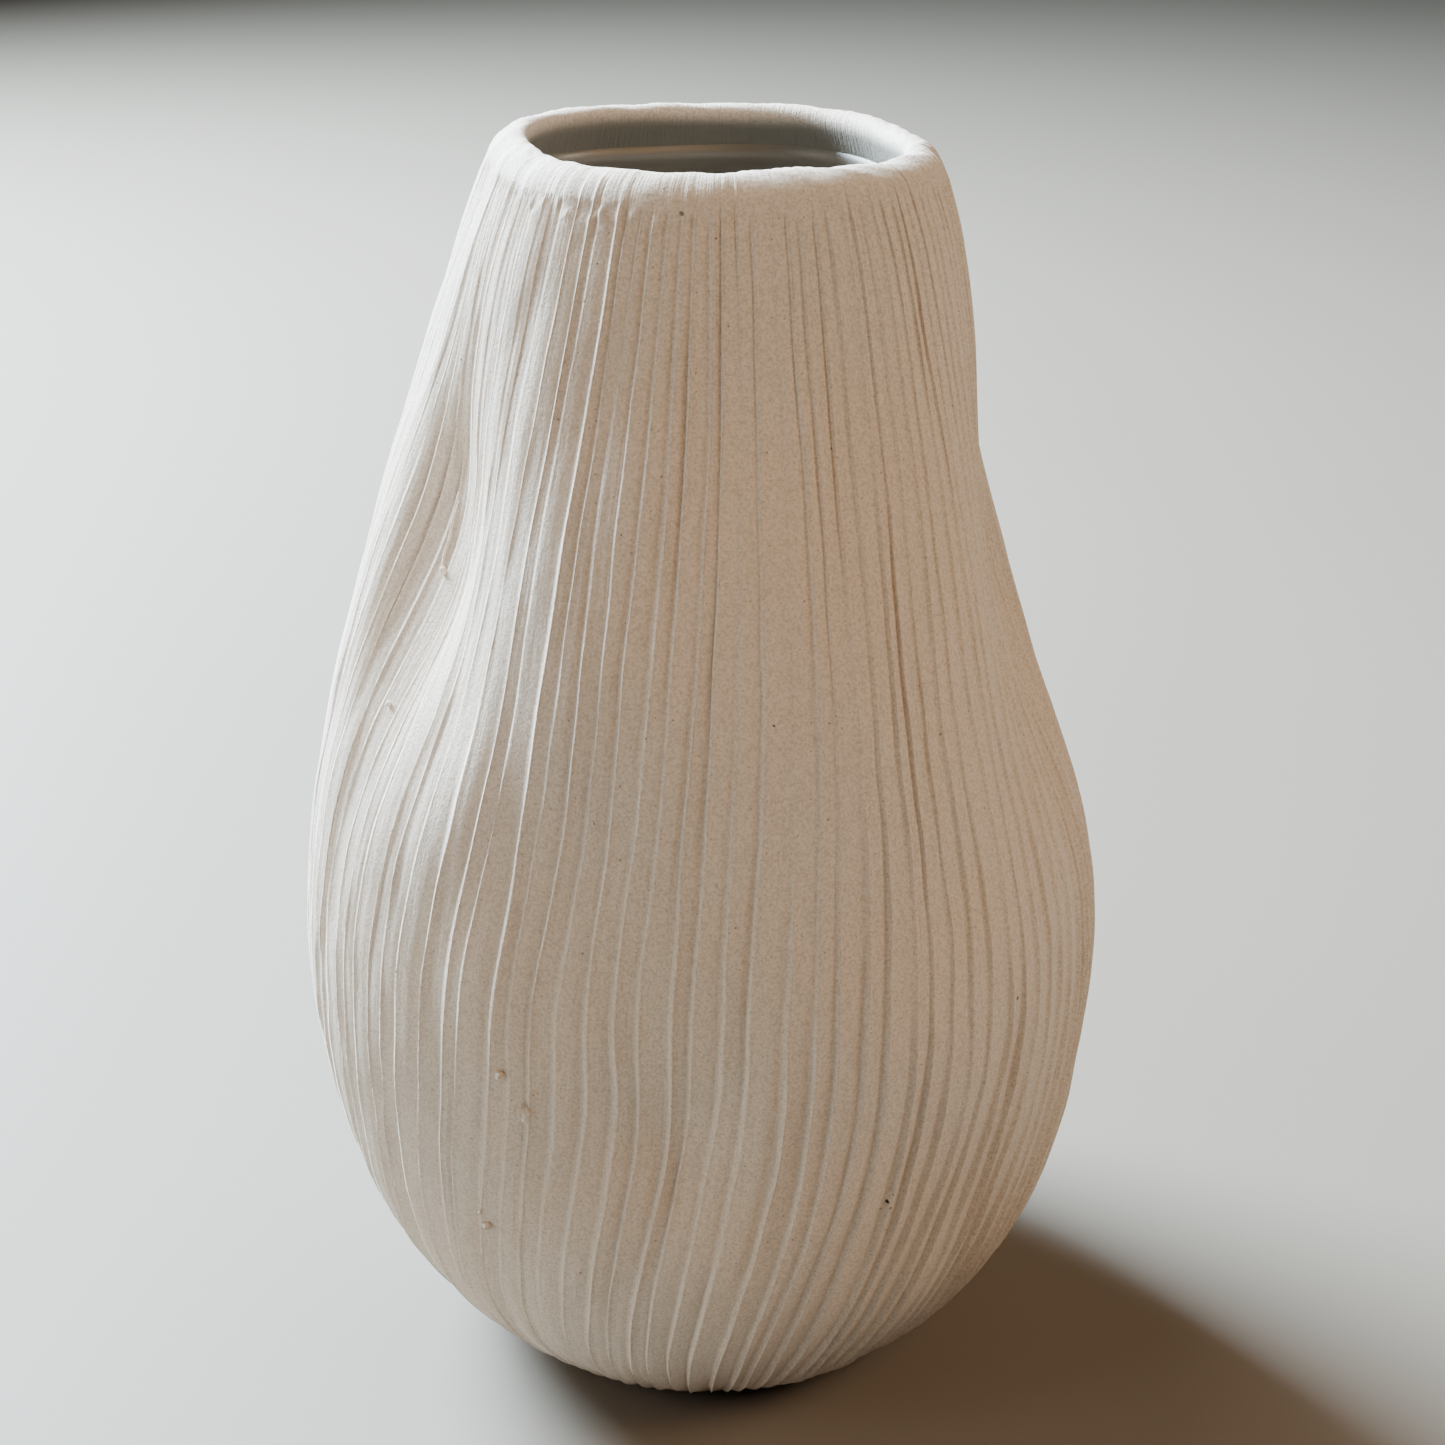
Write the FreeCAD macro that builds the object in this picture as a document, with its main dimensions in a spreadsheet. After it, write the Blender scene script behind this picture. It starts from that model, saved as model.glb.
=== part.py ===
import FreeCAD, Part
import Sketcher
import math
import os

# Stoneware vase, 180 mm tall.  Millimetres, +Z up, the front faces -Y.
# The origin is the centre of the foot, on the resting face.
# Angles around the vase run anticlockwise from +X: 90 is the back, 270 is the front.

# Profile of the hand-formed wall: level, mean outer radius, sideways drift of the centre line.
PROFILE = [
    (0, 30.7, -0.1), (4, 36.3, -0.1), (12, 43.9, -0.1), (25, 51.7, -0.4), (42, 56.6, -0.8),
    (60, 58.8, -1.3), (80, 58.1, -1.1), (100, 54.5, -1.1), (120, 49.4, -0.9), (140, 42.4, -1.6),
    (158, 35.9, -1.8), (172, 31.9, -0.7), (180, 28.5, -0.6),
]

# Places pressed in by hand (or, where the depth is negative, swollen out): angle, level, depth,
# reach around the wall towards smaller and towards larger angles, reach up and reach down the wall.
PRESSES = {
    "hollow_left": (211, 128, 8.5, 6.5, 12, 17, 17),
    "hollow_right": (350, 120, 9.0, 17, 17, 19, 19),
    "dimple_front": (266, 59, 5.4, 13, 10.5, 16, 8.5),
    "dimple_side": (250, 95, 1.5, 9, 9, 11, 11),
    "swell_shoulder": (345, 156, -1.2, 10, 10, 9, 9),
}
PRESS_WORDS = ("angle", "level", "depth", "reach_before", "reach_after", "reach_up", "reach_down")

SIZES = [
    ("height_total", 180),      # foot face to crown of the lip
    ("rim_start", 174),         # joint between the wall and the rim coil
    ("lip_round", 2.1),         # rounding of the crown, both edges
    ("wall_thick", 4.7),        # wall, measured square to its surface
    ("slab_radius", 29),
    ("slab_thick", 6),
    ("foot_relief", 1.2),       # the wall starts this far above the resting face
    ("foot_chamfer", 0.8),      # wiped edge of the foot
    ("glaze_thick", 0.5),
    ("glaze_top", 173.5),
    ("mouth_half_width", 29.2),
    ("mouth_half_depth", 29.8),
    ("mouth_square", 2.6),      # 2 would be an ellipse, more is squarer
    ("mouth_turn", 14),
    ("mouth_back", 6),          # the mouth sits this far behind the foot centre
    ("blend_start", 95),        # above this level the round body turns into the mouth outline
    ("overshoot", 4),           # cutting shapes run this far past what they cut
    ("block_radius", 80),       # round blocks that part one piece from the next
]

SECTION_POINTS = 48
OUTER_LEVELS = [4, 8, 14, 22, 32, 42, 51, 60, 69, 80, 91, 102, 112, 122, 132, 142, 152, 162, 171]
INNER_LEVELS = [10, 16, 24, 33, 42, 51, 60, 69, 80, 91, 102, 112, 122, 132, 142, 152, 162, 171]

doc = FreeCAD.newDocument("vase")
sheet = doc.addObject("Spreadsheet::Sheet", "Sizes")

row = 0


def put(name, value):
    """One named size in the sheet."""
    global row
    row += 1
    sheet.set("A%d" % row, name)
    sheet.set("B%d" % row, str(value))
    sheet.setAlias("B%d" % row, name)


for name, value in SIZES:
    put(name, value)
for number, (level, radius, drift) in enumerate(PROFILE):
    put("profile_level_%02d" % number, level)
    put("profile_radius_%02d" % number, radius)
    put("profile_drift_%02d" % number, drift)
for press, values in PRESSES.items():
    for word, value in zip(PRESS_WORDS, values):
        put("%s_%s" % (press, word), value)
doc.recompute()


def size(name):
    return float(sheet.get(name))


# ---------------------------------------------------------------- form of the wall

def smooth_line(word):
    """Curve through one column of the profile; its parameter is the level."""
    points, levels = [], []
    for number in range(len(PROFILE)):
        level = size("profile_level_%02d" % number)
        points.append(FreeCAD.Vector(level, size("profile_%s_%02d" % (word, number)), 0))
        levels.append(level)
    curve = Part.BSplineCurve()
    curve.interpolate(Points=points, Parameters=levels)
    return curve


radius_line = smooth_line("radius")
drift_line = smooth_line("drift")
height = size("height_total")
presses = [[size("%s_%s" % (press, word)) for word in PRESS_WORDS] for press in PRESSES]


def along(curve, level):
    """Value of a profile line, carried on straight above the crown."""
    if level <= height:
        return curve.value(level).y
    slope = curve.value(height).y - curve.value(height - 1).y
    return curve.value(height).y + slope * (level - height)


def mouth_share(level):
    """0 low on the body, 1 at the crown."""
    start = size("blend_start")
    share = min(max((level - start) / (height - start), 0.0), 1.0)
    return share * share * (3 - 2 * share)


def wall_radius(angle, level):
    """Outer radius about the drifting centre line; angle in degrees."""
    radius = along(radius_line, level)
    wide, deep, power = size("mouth_half_width"), size("mouth_half_depth"), size("mouth_square")
    turned = math.radians(angle - size("mouth_turn"))
    corner = abs(math.cos(turned) / wide) ** power + abs(math.sin(turned) / deep) ** power
    squareness = corner ** (-1 / power) / ((wide + deep) / 2)
    radius *= 1 + (squareness - 1) * mouth_share(level)
    for press_angle, press_level, depth, reach_before, reach_after, reach_up, reach_down in presses:
        turn = (angle - press_angle + 180) % 360 - 180
        arc = math.radians(turn) * along(radius_line, press_level)
        reach_round = reach_before if turn < 0 else reach_after
        reach_along = reach_down if level < press_level else reach_up
        away = (arc / reach_round) ** 2 + ((level - press_level) / reach_along) ** 2
        radius -= depth * math.exp(-0.5 * away)
    return radius


def wall_point(angle, level, inset):
    """Point of the wall surface, moved in by inset square to the surface."""
    radius = wall_radius(angle, level)
    if inset:
        up = wall_radius(angle, level + 0.5) - wall_radius(angle, level - 0.5)
        around = (wall_radius(angle + 1, level) - wall_radius(angle - 1, level)) / math.radians(2)
        radius -= inset * math.sqrt(1 + up * up + (around / radius) ** 2)
    turn = math.radians(angle)
    return FreeCAD.Vector(
        radius * math.cos(turn) + along(drift_line, level),
        radius * math.sin(turn) + size("mouth_back") * mouth_share(level),
        level,
    )


def section(name, level, inset):
    """Closed outline of the wall at one level, starting at the back."""
    points = []
    for step in range(SECTION_POINTS):
        points.append(wall_point(90 + 360.0 * step / SECTION_POINTS, level, inset))
    curve = Part.BSplineCurve()
    curve.interpolate(Points=points, PeriodicFlag=True)
    wire = doc.addObject("Part::Feature", "%s_at_%03d" % (name, round(level)))
    wire.Shape = Part.Wire([curve.toShape()])
    wire.Placement = FreeCAD.Placement()
    return wire


def skin(name, levels, inset):
    """Solid lofted through the outlines at the given levels."""
    loft = doc.addObject("Part::Loft", name)
    loft.Sections = [section(name, level, inset) for level in levels]
    loft.Solid = True
    loft.Ruled = False
    return loft


above = height + size("overshoot")
relief = size("foot_relief")
floor = size("slab_thick")
thick = size("wall_thick")
glaze = size("glaze_thick")

outer_skin = skin("outer_skin", [relief] + OUTER_LEVELS + [height], 0)
inner_skin = skin("inner_skin", [floor] + INNER_LEVELS + [height, above], thick)
glaze_skin = skin("glaze_skin", [floor + glaze] + INNER_LEVELS + [height, above], thick + glaze)
doc.recompute()


def primitive(kind, name, sizes, lift=None):
    """Part primitive whose sizes, and height above the foot, follow the sheet."""
    made = doc.addObject(kind, name)
    for prop, expression in sizes.items():
        made.setExpression(prop, expression)
    if lift:
        made.setExpression("Placement.Base.z", lift)
    return made


def boolean(kind, name, base, tool):
    made = doc.addObject(kind, name)
    made.Base = base
    made.Tool = tool
    return made


def cylinder(name, radius, tall, lift=None):
    return primitive("Part::Cylinder", name, {"Radius": radius, "Height": tall}, lift)


# ---------------------------------------------------------------- base slab

base_slab = doc.addObject("PartDesign::Body", "base_slab")
disc = base_slab.newObject("Sketcher::SketchObject", "foot_circle")
for plane in base_slab.Origin.OriginFeatures:
    if plane.Role == "XY_Plane":
        disc.AttachmentSupport = [(plane, "")]
disc.MapMode = "FlatFace"
disc.addGeometry(Part.Circle(FreeCAD.Vector(0, 0, 0), FreeCAD.Vector(0, 0, 1), 20), False)
disc.addConstraint(Sketcher.Constraint("Coincident", 0, 3, -1, 1))
disc.addConstraint(Sketcher.Constraint("Radius", 0, 20))
disc.setExpression("Constraints[1]", "Sizes.slab_radius")
slab_pad = base_slab.newObject("PartDesign::Pad", "slab_pad")
slab_pad.Profile = disc
slab_pad.setExpression("Length", "Sizes.slab_thick")
doc.recompute()

foot_edge = [
    "Edge%d" % (number + 1)
    for number, edge in enumerate(slab_pad.Shape.Edges)
    if edge.BoundBox.ZMax < 0.001
]
wiped = base_slab.newObject("PartDesign::Chamfer", "wiped_foot")
wiped.Base = (slab_pad, foot_edge)
wiped.setExpression("Size", "Sizes.foot_chamfer")
base_slab.Tip = wiped

# ---------------------------------------------------------------- body wall

clay = boolean("Part::Cut", "clay", outer_skin, inner_skin)
below_joint = cylinder("below_joint", "Sizes.block_radius", "Sizes.rim_start")
lower_clay = boolean("Part::Common", "lower_clay", clay, below_joint)
slab_seat = cylinder("slab_seat", "Sizes.slab_radius", "Sizes.slab_thick + Sizes.overshoot")
body_wall = boolean("Part::Cut", "body_wall", lower_clay, slab_seat)

# ---------------------------------------------------------------- rim coil

upper_block = cylinder("upper_block", "Sizes.block_radius",
                       "Sizes.height_total - Sizes.rim_start + Sizes.overshoot", "Sizes.rim_start")
coil = boolean("Part::Common", "coil", clay, upper_block)
doc.recompute()
crown = [
    (number + 1, size("lip_round"), size("lip_round"))
    for number, edge in enumerate(coil.Shape.Edges)
    if edge.BoundBox.ZMin > height - 0.01
]
rim_coil = doc.addObject("Part::Fillet", "rim_coil")
rim_coil.Base = coil
rim_coil.Edges = crown

# ---------------------------------------------------------------- liner glaze

glazed_height = cylinder("glazed_height", "Sizes.block_radius",
                         "Sizes.glaze_top - Sizes.slab_thick", "Sizes.slab_thick")
glaze_block = boolean("Part::Common", "glaze_block", inner_skin, glazed_height)
liner_glaze = boolean("Part::Cut", "liner_glaze", glaze_block, glaze_skin)

doc.recompute()

NODES = {
    "base_slab": base_slab,
    "body_wall": body_wall,
    "rim_coil": rim_coil,
    "liner_glaze": liner_glaze,
}
for node, sub_part in NODES.items():
    sub_part.Label = node
doc.recompute()

for item in doc.Objects:
    for word in ("Invalid", "Error"):
        if word in item.State:
            raise RuntimeError("%s is %s" % (item.Name, word))

os.makedirs("parts", exist_ok=True)
for node, sub_part in NODES.items():
    shape = sub_part.Shape
    if shape.isNull() or not shape.isValid():
        raise RuntimeError("%s has no valid shape" % node)
    if len(shape.Solids) != 1:
        raise RuntimeError("%s is %d solids" % (node, len(shape.Solids)))
    shape.exportStep("parts/%s.step" % node)
    box = shape.optimalBoundingBox()
    print("%s volume %.1f mm3, x %.2f..%.2f y %.2f..%.2f z %.2f..%.2f, %d faces" % (
        node, shape.Volume, box.XMin, box.XMax, box.YMin, box.YMax, box.ZMin, box.ZMax,
        len(shape.Faces)))
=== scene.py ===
import math

import bpy
import numpy as np
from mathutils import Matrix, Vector
from mathutils.bvhtree import BVHTree


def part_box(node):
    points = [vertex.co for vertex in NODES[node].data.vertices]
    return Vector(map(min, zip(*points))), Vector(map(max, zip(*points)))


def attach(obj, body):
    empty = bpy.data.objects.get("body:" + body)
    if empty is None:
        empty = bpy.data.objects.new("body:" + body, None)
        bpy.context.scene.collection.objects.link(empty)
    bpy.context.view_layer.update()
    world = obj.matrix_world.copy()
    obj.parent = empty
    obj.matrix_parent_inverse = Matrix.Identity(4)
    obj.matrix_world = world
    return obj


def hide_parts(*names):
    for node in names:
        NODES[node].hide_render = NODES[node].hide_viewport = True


# Stoneware vase: a hand-pressed, pear-shaped clay wall cut all over with upright flutes, a smooth rounded
# lip, a satin glaze inside and a bare clay foot.  Metres, +Z up, the front faces -Y.
# Angles run anticlockwise from +X, in degrees: 180 is the left, 270 the front, 0 the right.

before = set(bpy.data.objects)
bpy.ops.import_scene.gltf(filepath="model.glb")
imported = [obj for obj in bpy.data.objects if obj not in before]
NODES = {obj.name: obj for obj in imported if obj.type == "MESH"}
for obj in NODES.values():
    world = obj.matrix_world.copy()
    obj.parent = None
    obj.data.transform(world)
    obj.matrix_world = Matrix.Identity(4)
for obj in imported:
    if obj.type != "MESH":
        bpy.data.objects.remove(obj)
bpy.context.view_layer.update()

MM = 0.001
WALL_LOW, WALL_HIGH = (corner.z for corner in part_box("body_wall"))
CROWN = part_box("rim_coil")[1].z
SLAB_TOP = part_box("base_slab")[1].z
SLAB_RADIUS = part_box("base_slab")[1].x
JOINT = WALL_HIGH                   # level where the rim coil was luted on
LIP_START = CROWN - 3.1 * MM        # the outside turns over into the lip here


# ------------------------------------------------------------------ reading the CAD surfaces

def hit_tree(*names):
    """Search tree over the CAD meshes of these nodes."""
    points, faces = [], []
    for name in names:
        mesh = NODES[name].data
        first = len(points)
        points += [v.co.copy() for v in mesh.vertices]
        faces += [[first + i for i in p.vertices] for p in mesh.polygons]
    return BVHTree.FromPolygons(points, faces)


def spline_weights(knots):
    """Matrix that turns values at the knots into the second derivatives of their natural cubic spline."""
    count = len(knots)
    gaps = np.diff(knots)
    left, right = np.eye(count), np.zeros((count, count))
    for i in range(1, count - 1):
        left[i, i - 1:i + 2] = gaps[i - 1], 2 * (gaps[i - 1] + gaps[i]), gaps[i]
        right[i, i - 1:i + 2] = 6 / gaps[i - 1], -6 / gaps[i - 1] - 6 / gaps[i], 6 / gaps[i]
    return np.linalg.solve(left, right)


class Skin:
    """One face of the clay as a smooth radius over angle and level, read from the CAD by rays."""

    HARMONICS = 30
    RAYS = 144

    def __init__(self, tree, low, high, outside, step=2 * MM):
        self.levels = np.linspace(low, high, int(round((high - low) / step)) + 1)
        angles = np.arange(self.RAYS) * 2 * math.pi / self.RAYS
        radii = np.empty((len(self.levels), self.RAYS))
        far = 0.2
        for row, level in enumerate(self.levels):
            for column, angle in enumerate(angles):
                out = Vector((math.cos(angle), math.sin(angle), 0))
                start = out * far if outside else Vector((0, 0, 0))
                start.z = level
                point = tree.ray_cast(start, -out if outside else out)[0]
                radii[row, column] = math.hypot(point.x, point.y)
        for _ in range(2):
            radii[1:-1] = (radii[:-2] + 2 * radii[1:-1] + radii[2:]) / 4
        waves = np.fft.rfft(radii, axis=1)[:, :self.HARMONICS + 1] * 2 / self.RAYS
        waves[:, 0] /= 2
        self.waves = np.concatenate([waves.real, -waves.imag], axis=1)
        self.bends = spline_weights(self.levels) @ self.waves

    def radius(self, angle, level):
        """Radius at angles (radians) on one level."""
        level = min(max(level, self.levels[0]), self.levels[-1])
        i = min(int(np.searchsorted(self.levels, level, side="right")) - 1, len(self.levels) - 2)
        gap = self.levels[i + 1] - self.levels[i]
        b = (level - self.levels[i]) / gap
        a = 1 - b
        wave = a * self.waves[i] + b * self.waves[i + 1]
        wave = wave + ((a ** 3 - a) * self.bends[i] + (b ** 3 - b) * self.bends[i + 1]) * gap ** 2 / 6
        turns = np.outer(np.arange(self.HARMONICS + 1), angle)
        return wave @ np.concatenate([np.cos(turns), np.sin(turns)])

    def points(self, angle, level):
        radius = self.radius(angle, level)
        return np.stack([radius * np.cos(angle), radius * np.sin(angle), np.full(len(angle), level)], 1)


clay_tree = hit_tree("body_wall", "rim_coil")
outer = Skin(clay_tree, WALL_LOW + 0.02 * MM, LIP_START + 0.6 * MM, outside=True)
inner = Skin(clay_tree, SLAB_TOP + 0.1 * MM, LIP_START + 0.6 * MM, outside=False)


# ------------------------------------------------------------------ small helpers

def smooth(low, high, value):
    """0 below low, 1 above high, smooth between."""
    t = np.clip((np.asarray(value, float) - low) / (high - low), 0, 1)
    return t * t * (3 - 2 * t)


def bump(value, centre, reach):
    """1 at the centre, 0.6 one reach away, and next to nothing three reaches away."""
    return np.exp(-0.5 * ((np.asarray(value, float) - centre) / reach) ** 2)


def angle_gap(angle, centre):
    """Signed difference between two directions, in degrees."""
    return (np.asarray(angle, float) - centre + 180) % 360 - 180


class Ripple:
    """Seeded smooth noise over direction (degrees) and level (metres), about -1 to 1."""

    def __init__(self, seed, around, up, count=24):
        """around: fewest and most waves round the vase; up: shortest and longest wave up it, in mm."""
        draw = np.random.default_rng(seed)
        self.turns = draw.integers(around[0], around[1] + 1, count)
        self.climbs = 2 * math.pi / (draw.uniform(up[0], up[1], count) * MM) * draw.choice([-1, 1], count)
        self.starts = draw.uniform(0, 2 * math.pi, count)
        self.scale = math.sqrt(2 / count)

    def __call__(self, angle, level):
        angle, level = np.broadcast_arrays(np.radians(angle), level)
        total = np.zeros(angle.shape)
        for turn, climb, start in zip(self.turns, self.climbs, self.starts):
            total += np.cos(turn * angle + climb * level + start)
        return total * self.scale


# ------------------------------------------------------------------ carved flutes

RIDGES = 104
PITCH = 360 / RIDGES
SPOTS = np.array([0, 0.05, 0.13, 0.32, 0.54, 0.72, 0.84, 0.93])   # columns from one crest to the next
COLUMNS = RIDGES * len(SPOTS)
BURR_SHARE = (0.2, 0.19)           # part of a stroke taken by the thrown-up edge, low and high on the wall
GROOVE_SHARE = (0.2, 0.25)         # part taken by the slope into the groove, low and high on the wall
STROKE_DEPTH_LEVELS = [2, 12, 40, 75, 110, 140, 168]              # mm above the table
STROKE_DEPTHS = [1.1, 1.3, 1.2, 1.0, 0.85, 0.75, 0.58]            # mm; the grooves go deeper than this


def height_mm(level):
    return np.asarray(level) / MM


def stroke_height(share, burr, next_burr, face, groove, notch, high):
    """Height across one stroke, from its crest (share 0) to the next crest (share 1).

    1 is the uncut surface and 0 the depth of the stroke; a groove can go below 0.  A thin burr falls to a
    broad face; near the next crest the corner of the tool leaves a groove, and the left flank of the crest
    rises out of it.  burr and next_burr are how much of each crest is left, notch how deep the groove is;
    high is 0 low on the wall, where the grooves are deeper, and 1 higher up.
    """
    burr_share, groove_share = (low_value + (high_value - low_value) * high
                                for low_value, high_value in (BURR_SHARE, GROOVE_SHARE))
    level = face * (1 - 0.74 * share ** 1.5 * (1 - smooth(groove, 1, share)))
    falling = np.clip(1 - share / burr_share, 0, 1) ** 1.4
    rising = np.clip((share - groove) / (1 - groove), 0, 1) ** 1.3
    into = np.clip(1 - (groove - share) / groove_share, 0, 1) * (share <= groove)
    out = np.clip(1 - (share - groove) / (1 - groove) / 0.6, 0, 1) * (share > groove)
    return (level + burr * (1 - face) * falling
            + next_burr * ((1 - face) * rising - notch * (2.2 - 1.2 * high) * face * (into + out)))


class Flutes:
    """Crests left between upright strokes of a loop tool: where they run and how deep the strokes are.

    The places are drawn by a seeded rule that follows the look of the strokes, not copied one by one.
    """

    def __init__(self, seed):
        draw = np.random.default_rng(seed)
        ridge = np.arange(RIDGES)
        home = (ridge + draw.uniform(-0.22, 0.22, RIDGES)) * PITCH
        home += 0.9 * np.sin(np.radians(3 * home + 40)) + 0.6 * np.sin(np.radians(7 * home + 200))
        self.home = home
        self.wander = [
            (draw.uniform(0.6, 1.4, RIDGES) * size * PITCH, draw.uniform(0.8, 1.25, RIDGES) * wave,
             draw.uniform(0, 2 * math.pi, RIDGES))
            for size, wave in ((0.06, 90), (0.03, 38), (0.018, 16))
        ]
        self.shared = Ripple(seed + 1, (2, 9), (60, 150))
        self.strength = draw.uniform(0.75, 1.0, RIDGES)
        weak = draw.random(RIDGES) < 0.25
        self.strength[weak] = draw.uniform(0.4, 0.65, weak.sum())
        front = bump(angle_gap(home, 288), 0, 38)
        quits = draw.random(RIDGES) < 0.06 + 0.4 * front
        quits &= np.roll(~quits, 1) | (draw.random(RIDGES) < 0.25)
        self.quit_level = np.where(quits, draw.uniform(96, 158, RIDGES), 400.0)
        begins = draw.random(RIDGES) < 0.12
        self.begin_level = np.where(begins, draw.uniform(14, 70, RIDGES), -100.0)
        self.stop_level = draw.uniform(-1.3, 1.2, RIDGES)
        self.groove = draw.uniform(0.8, 0.87, RIDGES)
        self.face = draw.uniform(0.55, 0.82, RIDGES)
        left = bump(angle_gap(home, 208), 0, 26)
        self.strength = np.maximum(self.strength, 0.95 * left)
        self.notch = 0.16 + 0.4 * left
        self.notch *= 1 - bump(angle_gap(home, 318), 0, 30) * draw.uniform(0.3, 1, RIDGES)
        self.chatter = Ripple(seed + 2, (20, 52), (9, 30), 30)
        self.depth_drift = Ripple(seed + 3, (4, 30), (40, 120), 30)

    def paths(self, level):
        """Direction of every crest at one level, in degrees."""
        z = float(height_mm(level))
        angle = self.home.copy()
        for size, wave, start in self.wander:
            angle += size * np.sin(2 * math.pi * z / wave + start)
        angle += 0.35 * self.shared(self.home, level)
        angle -= 9.0 * (1 - smooth(8, 72, z))
        angle -= 3.0 * (1 - smooth(72, 120, z)) * bump(angle_gap(self.home, 245), 0, 25)
        angle += 8.0 * smooth(108, 165, z) * bump(angle_gap(self.home, 305), 0, 22)
        return angle

    def strengths(self, level):
        """How much of each crest is left at one level, 0 to 1."""
        z = float(height_mm(level))
        keep = 1 - smooth(self.quit_level - 9, self.quit_level + 3, z)
        keep *= smooth(self.begin_level - 4, self.begin_level + 10, z)
        return self.strength * keep * (0.87 + 0.13 * self.chatter(self.home, level))

    def depths(self, level):
        """Depth of the strokes beside each crest at one level, in metres, before the grooves are added."""
        z = float(height_mm(level))
        depth = np.interp(z, STROKE_DEPTH_LEVELS, STROKE_DEPTHS)
        side = 1 - 0.36 * bump(angle_gap(self.home, 322), 0, 28) * smooth(40, 100, z)
        side += 0.25 * bump(angle_gap(self.home, 205), 0, 24) * smooth(60, 90, z)
        depth = depth * side * (1 + 0.2 * self.depth_drift(self.home, level))
        front = bump(angle_gap(self.home, 285), 0, 26)
        stop = height_mm(LIP_START) + 0.3 + self.stop_level * (0.5 + 0.4 * front)
        fade = 1.3 + 2.2 * front
        return depth * (1 - smooth(stop - fade, stop + 0.4, z)) * smooth(0.2, 3.2, z) * MM

    def row(self, level):
        """Directions (degrees) of all columns on one level, and how far the tool cut in there."""
        crest = self.paths(level)
        strength, depth = self.strengths(level), self.depths(level)
        after = np.roll(crest, -1)
        after[-1] += 360
        share = SPOTS[None, :]
        angle = crest[:, None] + (after - crest)[:, None] * share
        cut = depth[:, None] + (np.roll(depth, -1) - depth)[:, None] * (share * share * (3 - 2 * share))
        height = stroke_height(share, strength[:, None], np.roll(strength, -1)[:, None],
                               self.face[:, None], self.groove[:, None], self.notch[:, None],
                               float(smooth(30, 95, height_mm(level))))
        height += (np.roll(self.face, -1) - self.face)[:, None] * smooth(0.85, 1, share)
        return angle.ravel(), (cut * (1 - height)).ravel()


# each column's place in the order of strokes, in degrees
STROKE_TURN = (np.arange(RIDGES)[:, None] + SPOTS).ravel() * PITCH


flutes = Flutes(11)
hand_marks = Ripple(21, (3, 14), (18, 60), 30)
fine_marks = Ripple(22, (12, 60), (5, 16), 40)
tool_lines = Ripple(23, (130, 390), (45, 180), 60)


# ------------------------------------------------------------------ outside of the clay

AROUND_ONLY = (900, 1000)    # waves so long that a ripple, read at level 0, runs round the vase only
SLIP_THICK = 0.2 * MM
MARK_DEPTH, FINE_DEPTH, TOOL_LINE_DEPTH = 0.05 * MM, 0.012 * MM, 0.045 * MM
MOST_PROUD = 0.04 * MM       # marks stand no further than this out of the CAD surface; slip comes on top

def slip_edge(angle, level):
    """Ragged edge of slip where the wetted lip ends above the strokes, strongest at the front left."""
    place = height_mm(LIP_START) - 1.6 + 0.7 * slip_line(angle, 0.0)
    rough = np.clip(0.45 + 0.55 * slip_lumps(angle, level), 0, 1.4)
    where = 0.25 + 0.9 * bump(angle_gap(angle, 243), 0, 20)
    return SLIP_THICK * where * rough * bump(height_mm(level), place, 0.75)


slip_line = Ripple(31, (5, 30), AROUND_ONLY, 20)
slip_lumps = Ripple(32, (30, 110), (2.5, 8), 40)


def outside_row(level):
    """Points of one row of the outside, with the flutes cut in."""
    degrees, cut = flutes.row(level)
    angle = np.radians(degrees)
    here = outer.points(angle, level)
    side = outer.points(angle + 0.004, level) - outer.points(angle - 0.004, level)
    up = outer.points(angle, level + 0.25 * MM) - outer.points(angle, level - 0.25 * MM)
    normal = np.cross(side, up)
    normal /= np.linalg.norm(normal, axis=1)[:, None]
    off = -cut + MARK_DEPTH * hand_marks(degrees, level) + FINE_DEPTH * fine_marks(degrees, level)
    off += TOOL_LINE_DEPTH * tool_lines(STROKE_TURN, level) * smooth(0.1, 0.5, cut / MM)
    off = np.minimum(off, MOST_PROUD) + slip_edge(degrees, level)
    return here + normal * off[:, None], cut, degrees


def row_levels():
    """Levels of the outside rows, evenly spaced along the front outline, closer near the lip."""
    fine = np.linspace(WALL_LOW + 0.02 * MM, JOINT, 400)
    front = np.array([outer.radius(np.array([-math.pi / 2]), level)[0] for level in fine])
    walk = np.concatenate([[0], np.cumsum(np.hypot(np.diff(front), np.diff(fine)))])
    walk += 26 * MM * smooth(150 * MM, JOINT, fine)
    return np.interp(np.linspace(0, walk[-1], WALL_ROWS), walk, fine)


WALL_ROWS = 106
NECK_ROWS = 7        # from the joint up to the lip
LIP_ROWS = 17        # over the lip
THROAT_ROWS = 5      # from the lip down inside to the joint
INSIDE_ROWS = 30     # from the joint down inside to the slab
INSIDE_EVERY = 4     # the plain inside has one column for this many outside
LIP_POWER = 0.92     # 1 would be an ellipse over the lip, less is fuller
LUMP_HEIGHT, SWELL_HEIGHT = 0.04, 0.07    # mm, unevenness of the lip

levels = list(row_levels())
levels += list(np.linspace(JOINT, LIP_START, NECK_ROWS + 1)[1:])
rows = [outside_row(level) for level in levels]
lip_degrees = rows[-1][2]
lip_angle = np.radians(lip_degrees)

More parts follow.
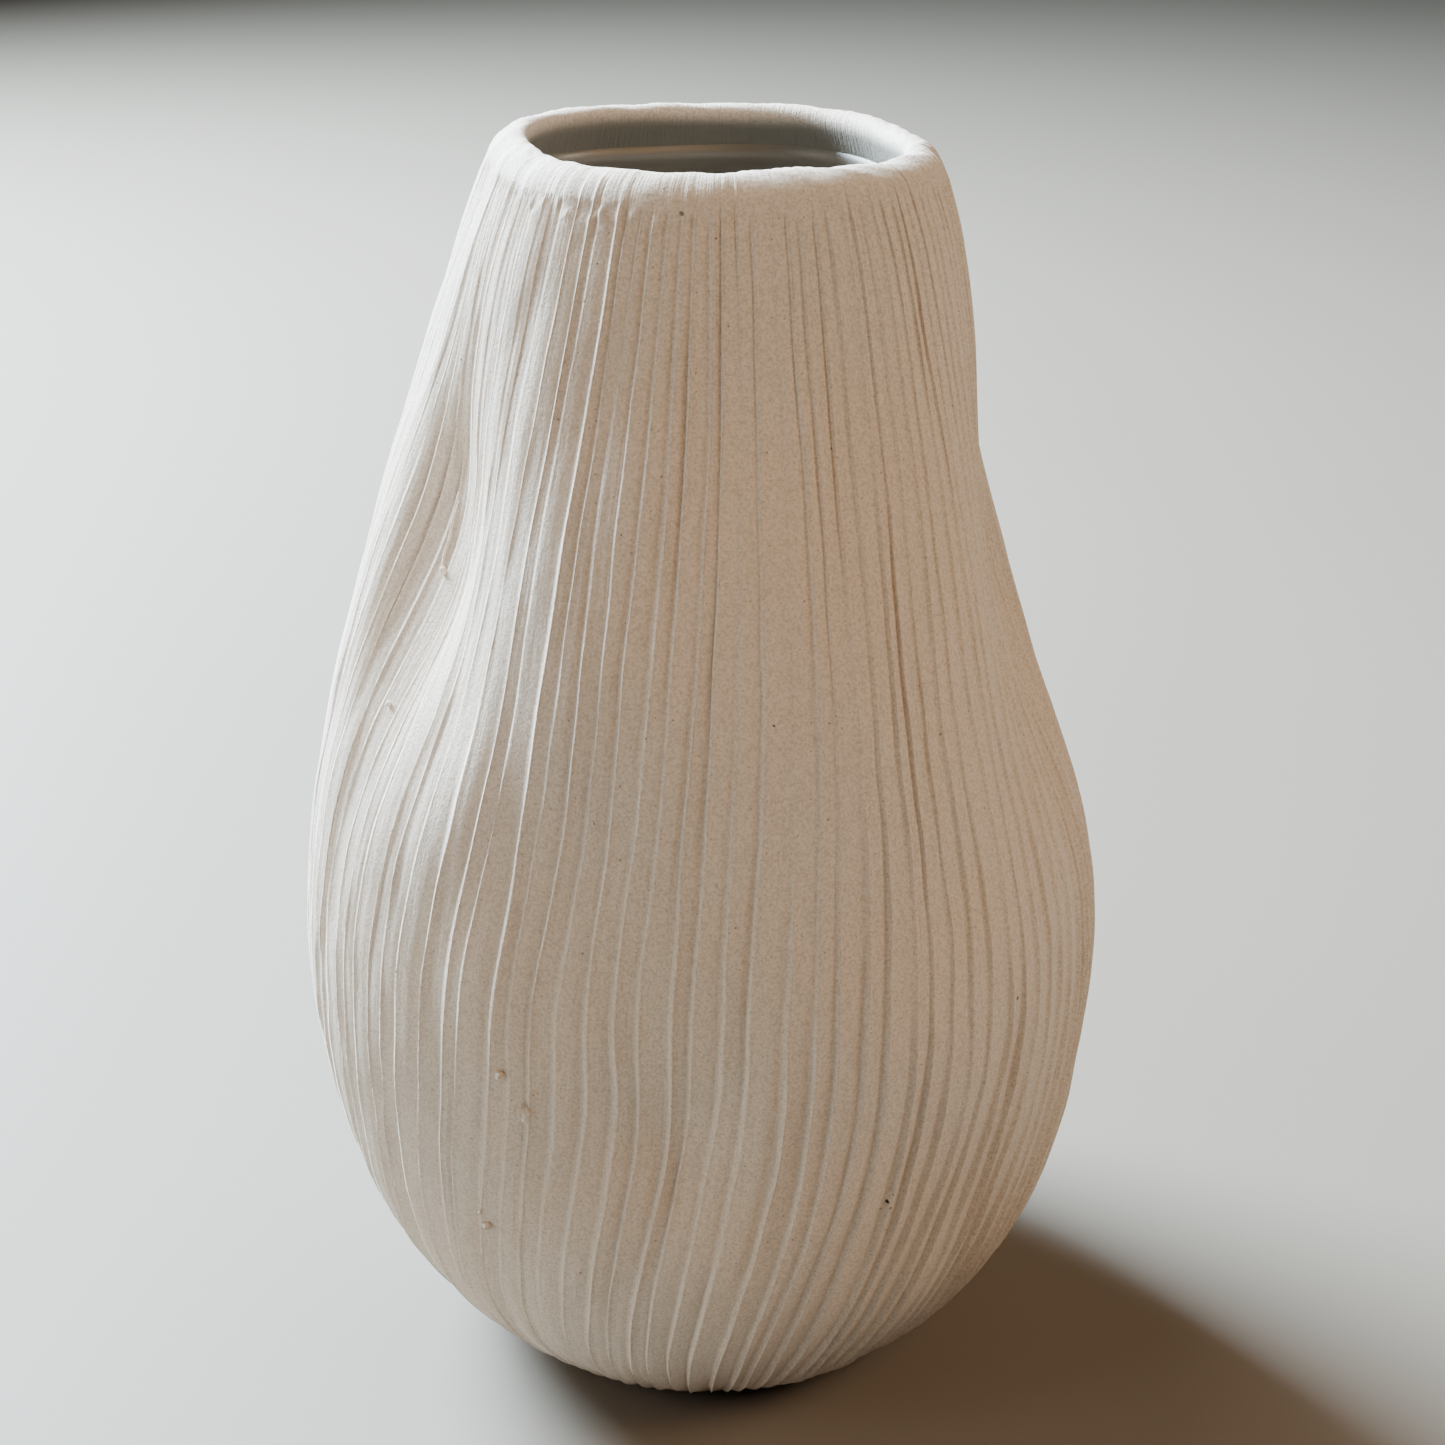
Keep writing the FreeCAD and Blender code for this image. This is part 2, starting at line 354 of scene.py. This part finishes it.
lip_out = rows[-1][0]
lip_in = inner.points(lip_angle, LIP_START)
lean = (outer.points(lip_angle, LIP_START) - outer.points(lip_angle, LIP_START - 2 * MM)) / (2 * MM)
crown_wave = Ripple(41, (2, 7), AROUND_ONLY, 12)
crown_lumps = Ripple(42, (14, 60), AROUND_ONLY, 30)
crown_swells = Ripple(43, (8, 26), (9000, 30000), 24)    # read with each step over the lip as one metre
middle = (lip_out + lip_in) / 2
rise = CROWN - LIP_START - 0.12 * MM + 0.08 * MM * crown_wave(lip_degrees, 0)
grid = [points for points, _, _ in rows]
cuts = [cut for _, cut, _ in rows]
for step in range(1, LIP_ROWS + 1):
    turn = math.pi * step / LIP_ROWS
    across = math.copysign(abs(math.cos(turn)) ** LIP_POWER, math.cos(turn))
    over = math.sin(turn) ** LIP_POWER if step < LIP_ROWS else 0.0
    lumps = MM * np.sin(turn) * (LUMP_HEIGHT * crown_lumps(lip_degrees + 3 * step, 0)
                                 + SWELL_HEIGHT * crown_swells(lip_degrees, step))
    point = middle + (lip_out - middle) * across + lean * (rise * over)[:, None]
    point[:, 2] += lumps
    grid.append(point)
    cuts.append(np.zeros(COLUMNS))
for level in np.linspace(LIP_START, JOINT, THROAT_ROWS + 1)[1:]:
    grid.append(inner.points(lip_angle, level))
    cuts.append(np.zeros(COLUMNS))
grid, cuts = np.array(grid), np.array(cuts)

# glaze colour on the inner side of the lip, partly the glaze's edge and partly painted shade going down
# into the mouth: none on the crown, full a little below it
lip_glaze_shade_rows = np.zeros(cuts.shape)
for row in range(len(levels) + LIP_ROWS // 2 + 1, len(grid)):
    below = CROWN - grid[row, :, 2]
    lip_glaze_shade_rows[row] = smooth(0.8 * MM, 3.2 * MM, below + 0.25 * MM * crown_wave(lip_degrees, 0))


def grid_normals(points):
    """Outward normals of a closed band of rows."""
    side = np.roll(points, -1, axis=1) - np.roll(points, 1, axis=1)
    up = np.empty_like(points)
    up[1:-1] = points[2:] - points[:-2]
    up[0], up[-1] = points[1] - points[0], points[-1] - points[-2]
    normal = np.cross(side, up)
    return normal / np.linalg.norm(normal, axis=2)[:, :, None]


normals = grid_normals(grid)
joint_row = WALL_ROWS - 1


# ------------------------------------------------------------------ building meshes

def band(first, second, count, flip=False):
    """Quads between two rings of the same count, given the index of each ring's first point."""
    here = np.arange(count)
    there = (here + 1) % count
    quads = np.stack([first + here, first + there, second + there, second + here], 1)
    return quads[:, ::-1] if flip else quads


def make_piece(name, points, faces, stands_for):
    """Mesh object from points and faces, riding on the root body in place of one CAD node."""
    mesh = bpy.data.meshes.new(name)
    mesh.from_pydata([tuple(p) for p in points], [], [tuple(int(i) for i in f) for f in faces])
    mesh.validate()
    mesh.shade_smooth()
    piece = bpy.data.objects.new(name, mesh)
    bpy.context.scene.collection.objects.link(piece)
    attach(piece, "root")
    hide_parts(stands_for)
    return piece


def set_normals(piece, given):
    """Gives the first points of a mesh their own normals; the others keep the ones they have."""
    mesh = piece.data
    corner = np.empty(len(mesh.loops), int)
    mesh.loops.foreach_get("vertex_index", corner)
    normal = np.array([c.vector for c in mesh.corner_normals], float)
    known = corner < len(given)
    normal[known] = given[corner[known]]
    mesh.normals_split_custom_set([tuple(n) for n in normal])


def set_value(piece, name, values):
    layer = piece.data.attributes.new(name, "FLOAT", "POINT")
    layer.data.foreach_set("value", np.asarray(values, np.float32))


STROKE_LENGTH = 1.0    # metres of height that count as one radius of the circle of strokes


def set_place(piece, around, up):
    """Place along the strokes, so that tool drag follows the flutes: around in degrees, up in metres."""
    turn = np.radians(around)
    place = np.stack([np.cos(turn), np.sin(turn), np.asarray(up) / STROKE_LENGTH], 1).astype(np.float32)
    layer = piece.data.attributes.new("stroke", "FLOAT_VECTOR", "POINT")
    layer.data.foreach_set("vector", place.ravel())


def ring(radius, level, count, start=0.0):
    angle = start + np.arange(count) * 2 * math.pi / count
    return np.stack([radius * np.cos(angle), radius * np.sin(angle), np.full(count, level)], 1)


def carved_point(degrees, level_mm):
    """Point of the carved surface and the directions out, up and sideways there."""
    level = level_mm * MM
    row = min(int(np.searchsorted(levels, level)), WALL_ROWS - 1)
    share = (level - levels[row - 1]) / (levels[row] - levels[row - 1])
    column = int(np.argmin(np.abs(angle_gap(rows[row][2], degrees))))
    here = grid[row - 1, column] * (1 - share) + grid[row, column] * share
    out = Vector(normals[row, column])
    up = Vector(grid[row, column] - grid[row - 1, column]).normalized()
    return Vector(here), out, up, up.cross(out)


def crumb(degrees, level_mm, wide, tall, thick, seed):
    """A pressed crumb of clay standing on the carved surface; its sizes are in mm."""
    middle, out, up, side = carved_point(degrees, level_mm)
    draw = np.random.default_rng(seed)
    starts = draw.uniform(0, 2 * math.pi, 3)
    points = []
    rings, count = 7, 12
    for i in range(rings):
        lift = math.pi * (rings - i - 0.5) / rings
        for j in range(count):
            turn = 2 * math.pi * j / count
            size = 1 + 0.16 * math.cos(2 * turn + starts[0]) + 0.1 * math.cos(3 * turn + starts[1])
            size += 0.08 * math.cos(3 * lift + starts[2])
            points.append(middle + out * thick * MM * 0.2 + size * MM / 2 * (
                side * wide * math.sin(lift) * math.cos(turn) + up * tall * math.sin(lift) * math.sin(turn)
                + out * thick * math.cos(lift)))
    return [tuple(p) for p in points], closed_rings(rings, count)


def burr(places, thick):
    """A thin thread of clay lying on the carved surface, through (degrees, level in mm) places."""
    count, points = 7, []
    for n, (degrees, level_mm) in enumerate(places):
        here, out, up, side = carved_point(degrees, level_mm)
        half = thick * MM / 2 * (1 if 0 < n < len(places) - 1 else 0.4)
        for j in range(count):
            turn = 2 * math.pi * j / count
            points.append(here + out * half * 0.7 + half * (side * math.cos(turn) + out * math.sin(turn)))
    return [tuple(p) for p in points], closed_rings(len(places), count)


def closed_rings(rings, count):
    """Faces of a tube of rings with both ends closed."""
    faces = [tuple(f) for r in range(rings - 1) for f in band(r * count, (r + 1) * count, count)]
    return faces + [tuple(reversed(range(count))), tuple(range((rings - 1) * count, rings * count))]


# Small marks.  The last three crumbs and the last two iron specks are on the unseen back, so invented.
CRUMBS = [   # direction, level, width, height and thickness in mm
    (204.9, 126.0, 1.2, 1.0, 1.3), (206.8, 108.8, 0.8, 0.7, 0.9), (245.7, 63.2, 1.6, 2.5, 1.2),
    (242.0, 68.8, 1.4, 1.1, 1.1), (238.5, 42.4, 1.2, 1.5, 1.1), (237.6, 45.0, 0.5, 0.5, 0.6),
    (246.5, 66.4, 0.4, 0.4, 0.3), (252.0, 38.0, 0.5, 0.4, 0.4), (92.0, 84.0, 1.2, 1.6, 0.6),
    (31.0, 58.0, 0.9, 1.1, 0.5), (128.0, 119.0, 0.8, 1.0, 0.5),
]
THREAD = [(203.5, 135.5), (203.5, 132.5), (203.6, 130.0), (203.9, 128.0), (204.2, 126.6), (204.7, 126.1)]


def carved_wall():
    """The wall: carved outside, plain inside, open at the foot for the slab."""
    outside = grid[:WALL_ROWS]
    coarse = COLUMNS // INSIDE_EVERY
    points = [outside.reshape(-1, 3)]
    faces = [band(r * COLUMNS, (r + 1) * COLUMNS, COLUMNS) for r in range(WALL_ROWS - 1)]
    start = WALL_ROWS * COLUMNS
    fine = np.arange(COLUMNS).reshape(coarse, INSIDE_EVERY)

    inside_angle = np.arctan2(outside[-1, ::INSIDE_EVERY, 1], outside[-1, ::INSIDE_EVERY, 0])
    low_angle = np.arctan2(outside[0, ::INSIDE_EVERY, 1], outside[0, ::INSIDE_EVERY, 0])
    inside_levels = np.linspace(JOINT, SLAB_TOP + 0.1 * MM, INSIDE_ROWS)
    rings = []
    for share, level in zip(np.linspace(0, 1, INSIDE_ROWS), inside_levels):
        turn = inside_angle + share * ((low_angle - inside_angle + math.pi) % (2 * math.pi) - math.pi)
        rings.append(inner.points(turn, level))
    for level in (SLAB_TOP, WALL_LOW):
        seat = np.stack([np.cos(low_angle), np.sin(low_angle)], 1) * SLAB_RADIUS
        rings.append(np.concatenate([seat, np.full((coarse, 1), level)], 1))
    points += rings
    for r in range(len(rings) - 1):
        faces.append(band(start + r * coarse, start + (r + 1) * coarse, coarse))
    faces = [tuple(f) for group in faces for f in group]

    here = np.arange(coarse)
    there = (here + 1) % coarse
    top, last = (WALL_ROWS - 1) * COLUMNS, start + (len(rings) - 1) * coarse
    for j in range(coarse):
        edge = list(fine[j]) + [fine[(j + 1) % coarse][0]]
        faces.append([top + i for i in edge] + [start + there[j], start + here[j]])
        faces.append([i for i in reversed(edge)] + [last + here[j], last + there[j]])
    points = np.concatenate(points)
    loose = [burr(THREAD, 0.42)] + [crumb(*values, seed=60 + n) for n, values in enumerate(CRUMBS)]
    for extra, extra_faces in loose:
        faces += [tuple(len(points) + i for i in f) for f in extra_faces]
        points = np.concatenate([points, extra])
    return points, faces


def lip_coil():
    """The rim: the last of the flutes, the rounded crown and the throat."""
    part = grid[joint_row:]
    count = len(part)
    faces = [band(r * COLUMNS, (r + 1) * COLUMNS, COLUMNS) for r in range(count - 1)]
    faces.append(band((count - 1) * COLUMNS, 0, COLUMNS))
    return part.reshape(-1, 3), np.concatenate(faces)


GLAZE_THICK = 0.5 * MM
GLAZE_COLUMNS = 300


def liner():
    """Skin of glaze on the inside of the wall and over the floor, feathered out under the lip."""
    count, thick = GLAZE_COLUMNS, GLAZE_THICK
    angle = np.arange(count) * 2 * math.pi / count
    wipes = Ripple(51, (1, 5), (4, 14), 30)
    pools = Ripple(52, (2, 8), (15, 60), 20)
    front, back = [], []
    wall_levels = np.linspace(JOINT, SLAB_TOP + 2.5 * MM, 76)
    for level in wall_levels:
        base = inner.points(angle, level)
        turned = np.degrees(angle)
        skin = thick * smooth(0, 2.5 * MM, JOINT - level)
        skin = skin * (1 + 0.22 * wipes(turned, level) + 0.25 * pools(turned, level))
        inward = -base * [1, 1, 0]
        inward /= np.linalg.norm(inward, axis=1)[:, None]
        front.append(base + inward * (0.02 * MM + np.asarray(skin))[:, None])
        back.append(base)
    last = front[-1]
    edge = np.hypot(last[:, 0], last[:, 1])
    floor = SLAB_TOP + thick
    for share in (0.93, 0.8, 0.62, 0.42, 0.22, 0.08):
        height = floor + (last[0, 2] - floor) * max(0.0, (share - 0.78) / 0.22) ** 2
        front.append(np.stack([np.cos(angle) * edge * share, np.sin(angle) * edge * share,
                               np.full(count, height)], 1))
        back.append(ring(SLAB_RADIUS * min(1, share), SLAB_TOP, count))
    points = np.concatenate(front + back + [[[0, 0, floor]], [[0, 0, SLAB_TOP]]])
    total = len(front)
    faces = []
    for r in range(total - 1):
        faces.append(band(r * count, (r + 1) * count, count))
        faces.append(band((total + r) * count, (total + r + 1) * count, count, flip=True))
    faces.append(band(total * count, 0, count))
    faces = [tuple(f) for group in faces for f in group]
    tip, under = 2 * total * count, 2 * total * count + 1
    for j in range(count):
        k = (j + 1) % count
        faces.append(((total - 1) * count + j, (total - 1) * count + k, tip))
        faces.append(((2 * total - 1) * count + k, (2 * total - 1) * count + j, under))
    return points, faces


wall = make_piece("body_wall_carved", *carved_wall(), stands_for="body_wall")
lip = make_piece("rim_coil_lip", *lip_coil(), stands_for="rim_coil")
glaze = make_piece("liner_glaze_skin", *liner(), stands_for="liner_glaze")

set_normals(wall, normals[:WALL_ROWS].reshape(-1, 3))
set_normals(lip, normals[joint_row:].reshape(-1, 3))

spare = len(wall.data.vertices) - WALL_ROWS * COLUMNS
# cut depth in mm at each point; the clay material uses it to paint shade into the grooves
wall_cut = np.concatenate([cuts[:WALL_ROWS].ravel(), np.zeros(spare)]) / MM
set_value(wall, "cut", wall_cut)
set_value(lip, "cut", cuts[joint_row:].ravel() / MM)
# how far the glaze colour covers the inside of the lip; partly painted shade going down into the mouth
set_value(lip, "lip_glaze_shade", lip_glaze_shade_rows[joint_row:].ravel())
set_value(wall, "lip_glaze_shade", np.zeros(len(wall.data.vertices)))
column_turn = np.arange(COLUMNS) * 360 / COLUMNS
column_place = np.tile(column_turn, WALL_ROWS)
set_place(wall, np.concatenate([column_place, np.zeros(spare)]),
          [v.co.z for v in wall.data.vertices])
set_place(lip, np.tile(column_turn, len(grid) - joint_row), [v.co.z for v in lip.data.vertices])


# ------------------------------------------------------------------ materials

class Shader:
    """A node material, with short ways to add nodes."""

    def __init__(self, name):
        self.material = bpy.data.materials.new(name)
        self.material.use_nodes = True
        self.tree = self.material.node_tree
        self.surface = self.tree.nodes["Principled BSDF"]

    def node(self, kind, settings=(), **inputs):
        made = self.tree.nodes.new(kind)
        for key, value in dict(settings).items():
            setattr(made, key, value)
        for key, value in inputs.items():
            self.join(value, made.inputs[key.replace("_", " ")])
        return made

    def join(self, value, socket):
        if isinstance(value, bpy.types.NodeSocket):
            self.tree.links.new(value, socket)
        else:
            socket.default_value = value

    def noise(self, place, scale, detail=2.0, rough=0.5):
        return self.node("ShaderNodeTexNoise", Vector=place, Scale=scale, Detail=detail,
                         Roughness=rough).outputs["Fac"]

    def ramp(self, value, low, high, start=0.0, end=1.0):
        made = self.node("ShaderNodeMapRange", {"interpolation_type": "SMOOTHSTEP"}, Value=value)
        made.inputs["From Min"].default_value = low
        made.inputs["From Max"].default_value = high
        made.inputs["To Min"].default_value = start
        made.inputs["To Max"].default_value = end
        return made.outputs["Result"]

    def mix(self, share, first, second, blend="MIX"):
        made = self.node("ShaderNodeMix", {"data_type": "RGBA", "blend_type": blend})
        self.join(share, made.inputs["Factor"])
        self.join(first, made.inputs[6])
        self.join(second, made.inputs[7])
        return made.outputs[2]

    def times(self, first, second):
        made = self.node("ShaderNodeMath", {"operation": "MULTIPLY"})
        self.join(first, made.inputs[0])
        self.join(second, made.inputs[1])
        return made.outputs[0]

    def bent(self, place, scale, reach):
        """Place pushed about by noise, so that spots come out ragged."""
        cloud = self.node("ShaderNodeTexNoise", Vector=place, Scale=scale, Detail=2.0)
        push = self.node("ShaderNodeVectorMath", {"operation": "SCALE"})
        self.join(cloud.outputs["Color"], push.inputs[0])
        push.inputs["Scale"].default_value = reach
        total = self.node("ShaderNodeVectorMath", {"operation": "ADD"})
        self.join(place, total.inputs[0])
        self.join(push.outputs[0], total.inputs[1])
        return total.outputs[0]

    def relief(self, height, depth, under=None):
        """Bump of this depth in metres, on top of another."""
        made = self.node("ShaderNodeBump", Height=height)
        made.inputs["Distance"].default_value = depth
        made.inputs["Strength"].default_value = 1.0
        if under is not None:
            self.join(under, made.inputs["Normal"])
        return made.outputs["Normal"]


def tint(red, green, blue):
    return (red, green, blue, 1.0)


# liner glaze colours: partly the glaze's own darker tone, partly painted shade for the inside of the vase
GLAZE_TONE_AND_SHADE, GLAZE_DEEP_AND_SHADE = (0.2, 0.18, 0.15), (0.16, 0.14, 0.115)
IRON = [   # direction, level in mm, size in mm, strength
    (295.0, 49.6, 0.75, 1.0), (296.0, 48.2, 0.45, 0.9), (294.6, 48.3, 0.35, 0.9), (295.9, 50.9, 0.35, 0.8),
    (316.5, 74.2, 0.6, 0.9), (279.0, 117.8, 0.45, 0.8), (261.0, 176.0, 0.6, 0.7), (302.0, 57.8, 0.5, 0.5),
    (268.5, 94.8, 0.4, 0.6), (232.0, 152.0, 0.4, 0.5), (120.0, 70.0, 0.6, 0.9), (40.0, 95.0, 0.5, 0.8),
]


def clay(name, base, deep, warm, carved, grain=1.0):
    """Fired stoneware: grain, mottling and specks; carved adds what reads the marks stored on the mesh:
    painted shade in the deep of the cuts, glaze colour with painted shade on the inner lip, and tool drag.
    """
    s = Shader(name)
    place = s.node("ShaderNodeTexCoord").outputs["Object"]
    colour = s.mix(s.ramp(s.noise(place, 24, 2), 0.38, 0.66), tint(*base), tint(*warm))
    colour = s.mix(s.ramp(s.noise(place, 900, 3, 0.65), 0.42, 0.72, 0.0, 0.35), colour, tint(*deep))
    if carved:
        # painted shade: the deeper the cut, the darker the clay, standing in for the shade inside the
        # grooves
        cut = s.node("ShaderNodeAttribute", {"attribute_name": "cut"}).outputs["Fac"]
        colour = s.mix(s.ramp(cut, 0.2, 0.9, 0.0, 0.2), colour, tint(*deep))
    fine = s.noise(place, 2500, 2, 0.75)
    colour = s.mix(s.ramp(fine, 0.4, 0.66, 0.0, 0.5), colour, tint(*(c * 0.66 for c in deep)))
    for cells, size, rare, tone in ((620, 0.11, 0.93, (0.10, 0.065, 0.045)),
                                    (240, 0.06, 0.95, (0.05, 0.032, 0.025)),
                                    (1300, 0.2, 0.86, (0.30, 0.22, 0.16))):
        spot = s.node("ShaderNodeTexVoronoi", Vector=place, Scale=cells)
        near = s.ramp(spot.outputs["Distance"], size * 0.55, size, 1.0, 0.0)
        pick = s.node("ShaderNodeSeparateColor", Color=spot.outputs["Color"]).outputs[0]
        chosen = s.ramp(pick, rare, rare + 0.02, 0.0, 0.75)
        colour = s.mix(s.times(near, chosen), colour, tint(*tone))
    s.join(s.ramp(s.noise(place, 700, 3), 0.3, 0.7, 0.7, 0.9), s.surface.inputs["Roughness"])
    s.surface.inputs["Specular IOR Level"].default_value = 0.35
    for degrees, level_mm, size, strength in IRON if carved else ():
        spot = s.node("ShaderNodeVectorMath", {"operation": "DISTANCE"})
        s.join(s.bent(place, 1900, 0.35 * MM), spot.inputs[0])
        spot.inputs[1].default_value = carved_point(degrees, level_mm)[0]
        near = s.ramp(spot.outputs["Value"], size * MM * 0.35, size * MM * 0.6, strength, 0.0)
        colour = s.mix(near, colour, tint(0.03, 0.022, 0.018))
    if carved:
        # glaze colour up the inner lip: partly the glaze, partly painted shade going down into the mouth
        lip_glaze_shade = s.node("ShaderNodeAttribute", {"attribute_name": "lip_glaze_shade"}).outputs["Fac"]
        colour = s.mix(lip_glaze_shade, colour, tint(*GLAZE_TONE_AND_SHADE))
    s.join(colour, s.surface.inputs["Base Color"])
    normal = s.relief(s.noise(place, 420, 3, 0.6), 0.06 * MM * grain)
    normal = s.relief(s.noise(place, 2200, 3, 0.75), 0.13 * MM * grain, normal)
    if carved:
        stroke = s.node("ShaderNodeAttribute", {"attribute_name": "stroke"}).outputs["Vector"]
        normal = s.relief(s.noise(stroke, 90, 2, 0.6), 0.16 * MM, normal)
    s.join(normal, s.surface.inputs["Normal"])
    return s.material


def glazed(name, base, deep):
    """Thin satin glaze with faint level wipes."""
    s = Shader(name)
    place = s.node("ShaderNodeTexCoord").outputs["Object"]
    flat = s.node("ShaderNodeMapping", Vector=place)
    flat.inputs["Scale"].default_value = (18, 18, 260)
    wipes = s.noise(flat.outputs["Vector"], 1.0, 4, 0.6)
    colour = s.mix(s.ramp(wipes, 0.35, 0.68), tint(*base), tint(*deep))
    colour = s.mix(s.ramp(s.noise(place, 1500, 2), 0.5, 0.75, 0.0, 0.2), colour,
                   tint(*(c * 0.75 for c in deep)))
    s.join(colour, s.surface.inputs["Base Color"])
    s.join(s.ramp(s.noise(place, 120, 3), 0.3, 0.7, 0.34, 0.5), s.surface.inputs["Roughness"])
    normal = s.relief(wipes, 0.12 * MM)
    normal = s.relief(s.noise(place, 600, 2), 0.015 * MM, normal)
    s.join(normal, s.surface.inputs["Normal"])
    return s.material


CREAM = (0.72, 0.615, 0.52)
CREAM_DEEP = (0.58, 0.465, 0.37)
CREAM_WARM = (0.74, 0.61, 0.495)
FOOT, FOOT_DEEP, FOOT_WARM = (0.66, 0.55, 0.43), (0.5, 0.39, 0.29), (0.68, 0.56, 0.43)
carved_clay = clay("carved_clay", CREAM, CREAM_DEEP, CREAM_WARM, carved=True)
foot_clay = clay("foot_clay", FOOT, FOOT_DEEP, FOOT_WARM, carved=False, grain=1.6)
smooth_clay = clay("smooth_clay", CREAM, CREAM_DEEP, CREAM_WARM, carved=True)
liner_finish = glazed("liner_glaze", GLAZE_TONE_AND_SHADE, GLAZE_DEEP_AND_SHADE)


def paint(piece, material):
    piece.data.materials.clear()
    piece.data.materials.append(material)


paint(wall, carved_clay)
paint(lip, smooth_clay)
paint(glaze, liner_finish)
for node_slot in NODES["base_slab"].material_slots:
    node_slot.material = foot_clay


# ------------------------------------------------------------------ floor, light and camera

def plain_material(name, colour, rough):
    s = Shader(name)
    place = s.node("ShaderNodeTexCoord").outputs["Object"]
    tone = s.mix(s.ramp(s.noise(place, 3, 2), 0.3, 0.7), tint(*colour), tint(*(c * 0.97 for c in colour)))
    s.join(tone, s.surface.inputs["Base Color"])
    s.surface.inputs["Roughness"].default_value = rough
    return s.material


bpy.ops.mesh.primitive_plane_add(size=6, location=(0, 1.2, 0))
floor = bpy.context.object
floor.name = "floor"
paint(floor, plain_material("pale_floor", (0.17, 0.14, 0.11), 0.7))


def lamp(name, place, aim, size, power, colour):
    """Soft square light."""
    light = bpy.data.lights.new(name, "AREA")
    light.shape = "SQUARE"
    light.size = size
    light.energy = power
    light.color = colour
    thing = bpy.data.objects.new(name, light)
    thing.location = place
    thing.rotation_mode = "QUATERNION"
    thing.rotation_quaternion = (Vector(aim) - Vector(place)).to_track_quat("-Z", "Y")
    bpy.context.scene.collection.objects.link(thing)


VASE_MIDDLE = Vector((0, 0, 0.09))


def from_side(azimuth, elevation, distance):
    """Place seen from the vase at this direction: azimuth as for angles round the vase."""
    a, e = math.radians(azimuth), math.radians(elevation)
    way = Vector((math.cos(a) * math.cos(e), math.sin(a) * math.cos(e), math.sin(e)))
    return VASE_MIDDLE + distance * way


lamp("window", from_side(139, 34, 1.3), VASE_MIDDLE, 0.7, 270, (0.66, 0.85, 1.0))
lamp("window_side", from_side(203, 26, 1.2), VASE_MIDDLE, 0.5, 5.0, (1.0, 0.94, 0.84))
lamp("window_top", from_side(140, 62, 1.2), VASE_MIDDLE, 0.5, 8, (1.0, 0.9, 0.78))
lamp("room_right", from_side(350, 34, 1.2), VASE_MIDDLE, 0.4, 5.4, (1.0, 0.92, 0.78))
lamp("room_front", from_side(320, 48, 1.2), VASE_MIDDLE, 0.4, 4.2, (1.0, 0.56, 0.2))

world = bpy.data.worlds.new("studio")
world.use_nodes = True
world.node_tree.nodes["Background"].inputs["Color"].default_value = (0.95, 0.9, 0.84, 1)
world.node_tree.nodes["Background"].inputs["Strength"].default_value = 0.03
bpy.context.scene.world = world

# the camera's place and turn were fitted to the outline in the photograph, then rounded
CAMERA_PLACE = (0, -0.306, 0.2322)
YAW, PITCH_DOWN, ROLL = math.radians(0.28), math.radians(23.9), math.radians(-0.605)
SENSOR_WIDTH, LENS = 36, 57.1      # mm
camera_data = bpy.data.cameras.new("camera")
camera_data.sensor_width = SENSOR_WIDTH
camera_data.lens = LENS
camera = bpy.data.objects.new("camera", camera_data)
bpy.context.scene.collection.objects.link(camera)
camera.location = CAMERA_PLACE
camera.rotation_mode = "XYZ"
look = Vector((math.sin(YAW) * math.cos(PITCH_DOWN), math.cos(YAW) * math.cos(PITCH_DOWN),
               -math.sin(PITCH_DOWN)))
camera.rotation_euler = look.to_track_quat("-Z", "Y").to_euler()
camera.rotation_euler.rotate_axis("Z", -ROLL)
bpy.context.scene.camera = camera
